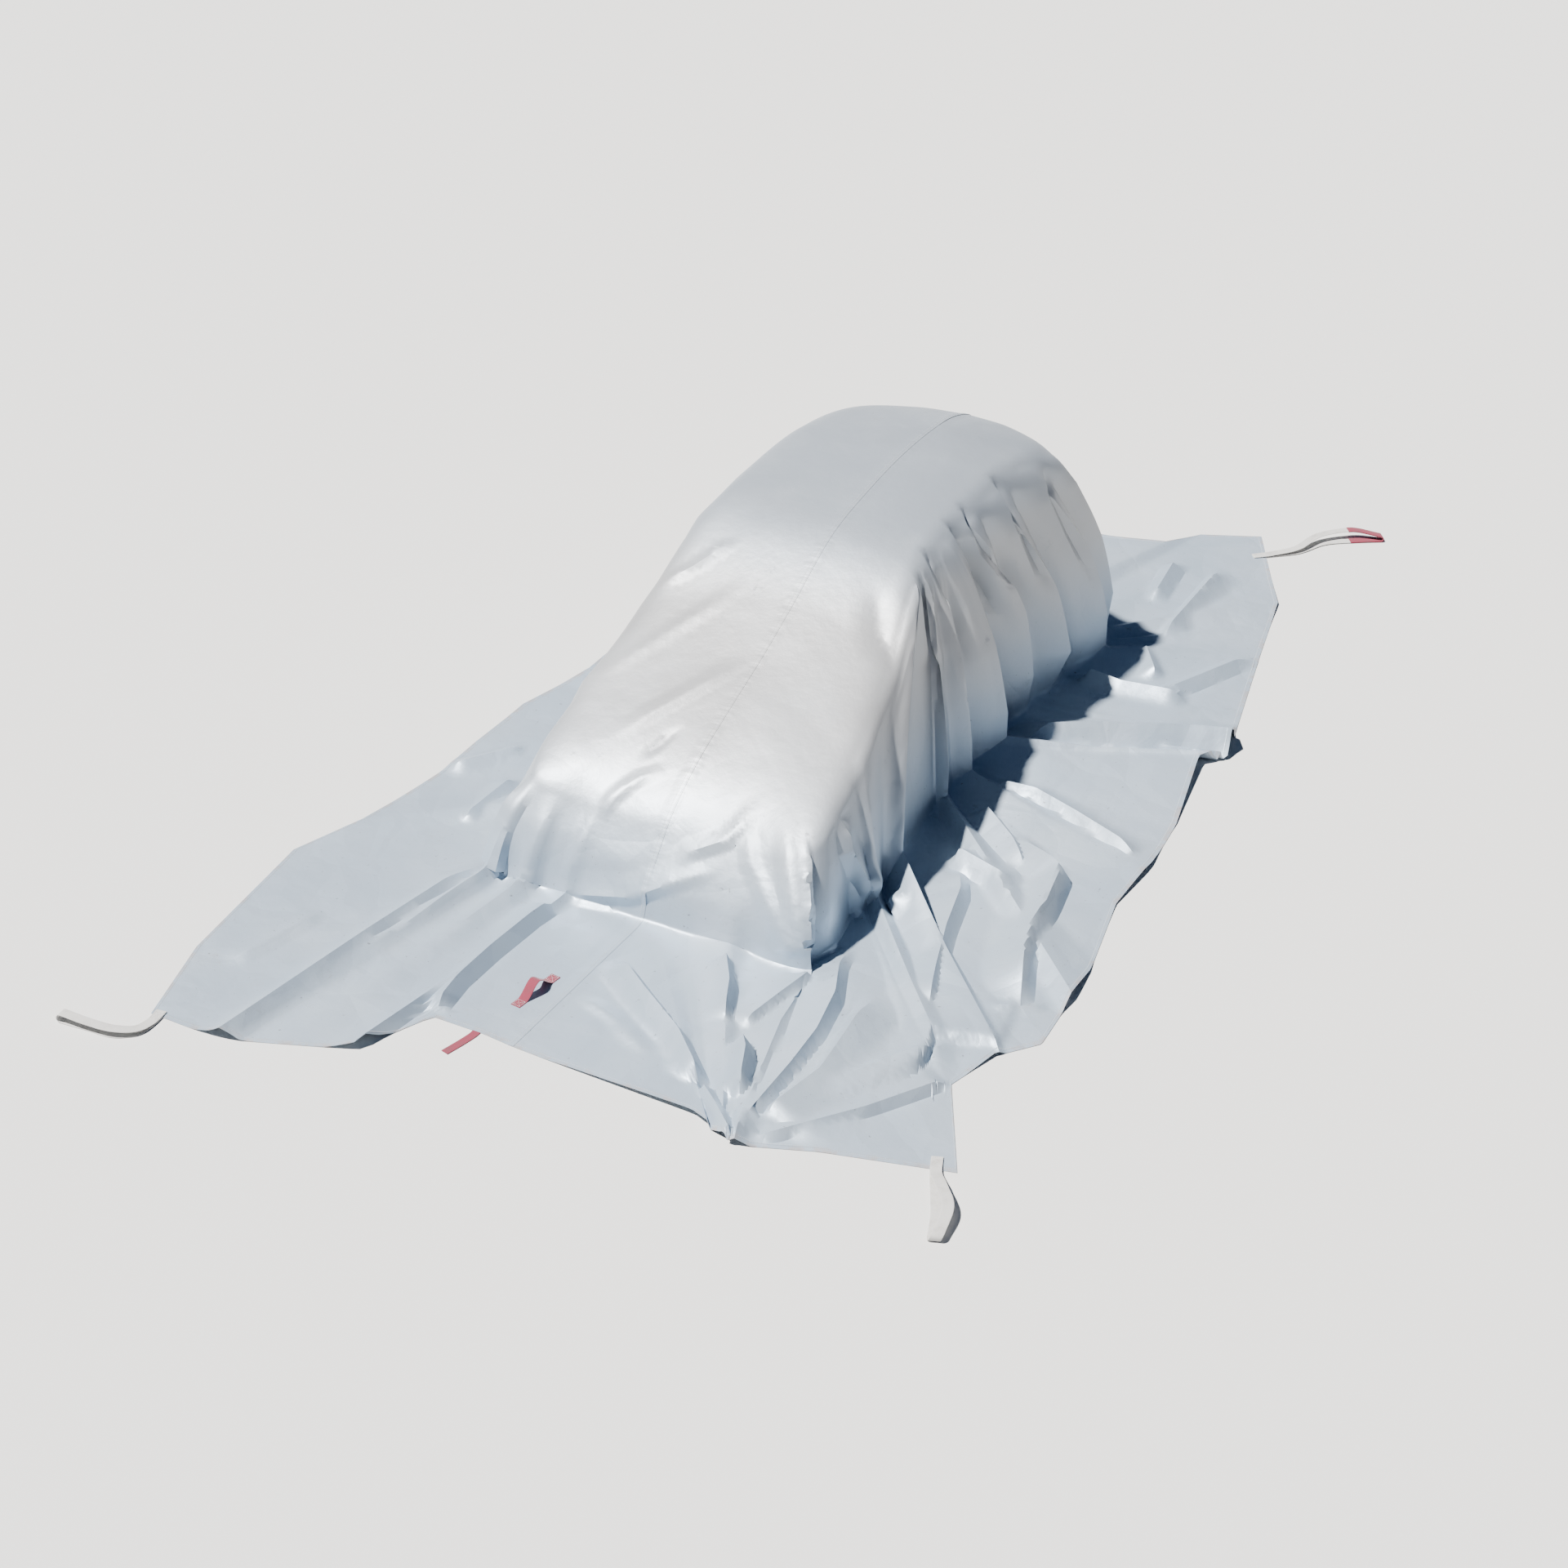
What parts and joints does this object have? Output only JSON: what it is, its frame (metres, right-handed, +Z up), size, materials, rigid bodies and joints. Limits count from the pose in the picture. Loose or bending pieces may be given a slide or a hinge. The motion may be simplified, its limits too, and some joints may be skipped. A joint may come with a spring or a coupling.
{
  "type": "draped car fire blanket",
  "caption": "Large silver-grey coated fire blanket draped over a vehicle shape, folded skirts spread on the ground, webbing pull loops at its corners, to smother a vehicle fire.",
  "frame": {"origin": "middle of the ground outline, straps included, on the ground", "axes": "+Z up, +Y from the low front end to the high back end, +X to the right-hand skirt"},
  "size_m": [4.8222, 8.7974, 1.557],
  "materials": {
    "coated_cloth": "satin silver-grey coating, scuffed",
    "webbing": "matte woven",
    "red_webbing": "matte woven"
  },
  "bodies": {
    "root": {"panel_right": "coated_cloth", "panel_left": "coated_cloth", "strap_front_left": "webbing", "strap_front_right": "webbing", "strap_back_right": "webbing", "strap_back_left": "webbing", "grip_back_right": "red_webbing", "grip_back_left": "red_webbing", "handle_front": "red_webbing", "tab_front": "red_webbing"}
  },
  "joints": []
}
